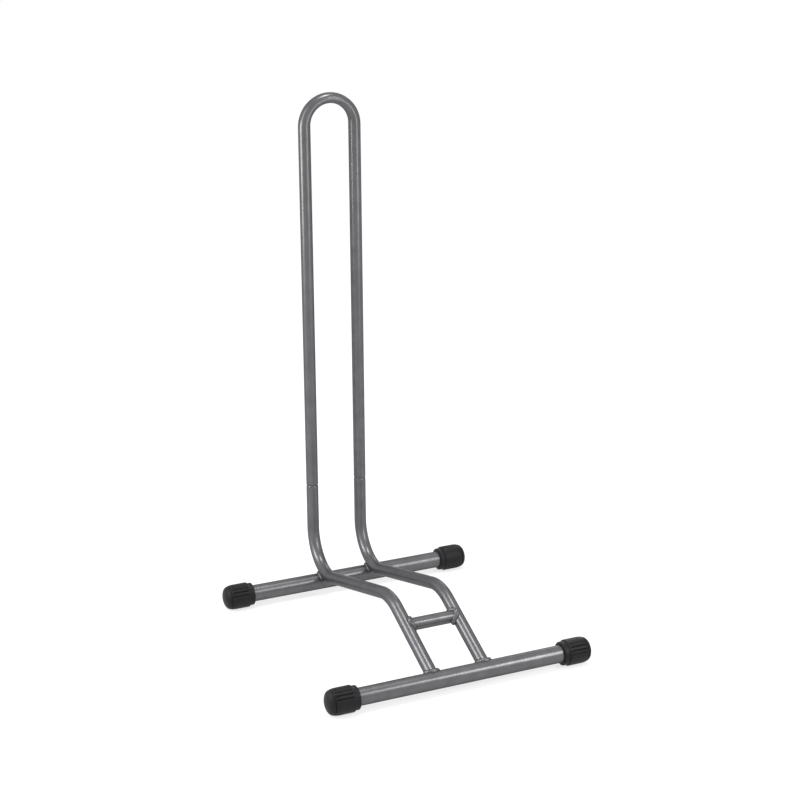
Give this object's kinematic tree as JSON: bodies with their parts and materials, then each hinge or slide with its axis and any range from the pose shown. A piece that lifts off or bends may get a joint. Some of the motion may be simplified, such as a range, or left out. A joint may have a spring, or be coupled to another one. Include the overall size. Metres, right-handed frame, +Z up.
{
  "type": "floor bike rack",
  "caption": "Free-standing floor rack for a bicycle: bent tube rails between cross tubes hold the wheel, and a tall plug-on hoop keeps the tyre upright.",
  "frame": {"origin": "on the floor, at the middle of the underside of the rack's bounding box", "axes": "+Z up along the hoop, -Y towards the front, where the wheel rolls in, +X along the cross tubes"},
  "size_m": [0.356, 0.4004, 0.672],
  "materials": {
    "coated_steel": "satin silver-grey powder coat",
    "coated_weld": "satin silver-grey powder coat over a rippled bead",
    "cap_rubber": "matt black moulded rubber"
  },
  "bodies": {
    "base": {"rail_left": "coated_steel", "rail_right": "coated_steel", "rear_cross_tube": "coated_steel", "front_cross_tube": "coated_steel", "rung": "coated_steel", "end_cap_front_left": "cap_rubber", "end_cap_front_right": "cap_rubber", "end_cap_rear_left": "cap_rubber", "end_cap_rear_right": "cap_rubber", "weld_front_left": "coated_weld", "weld_front_right": "coated_weld", "weld_rear_left": "coated_weld", "weld_rear_right": "coated_weld", "weld_rung_left": "coated_weld", "weld_rung_right": "coated_weld"},
    "hoop": {"hoop": "coated_steel"}
  },
  "joints": [
    {"name": "hoop_lift", "type": "slide", "parent": "base", "child": "hoop", "axis": [0, 0, 1], "range_m": [0, 0.045]}
  ]
}
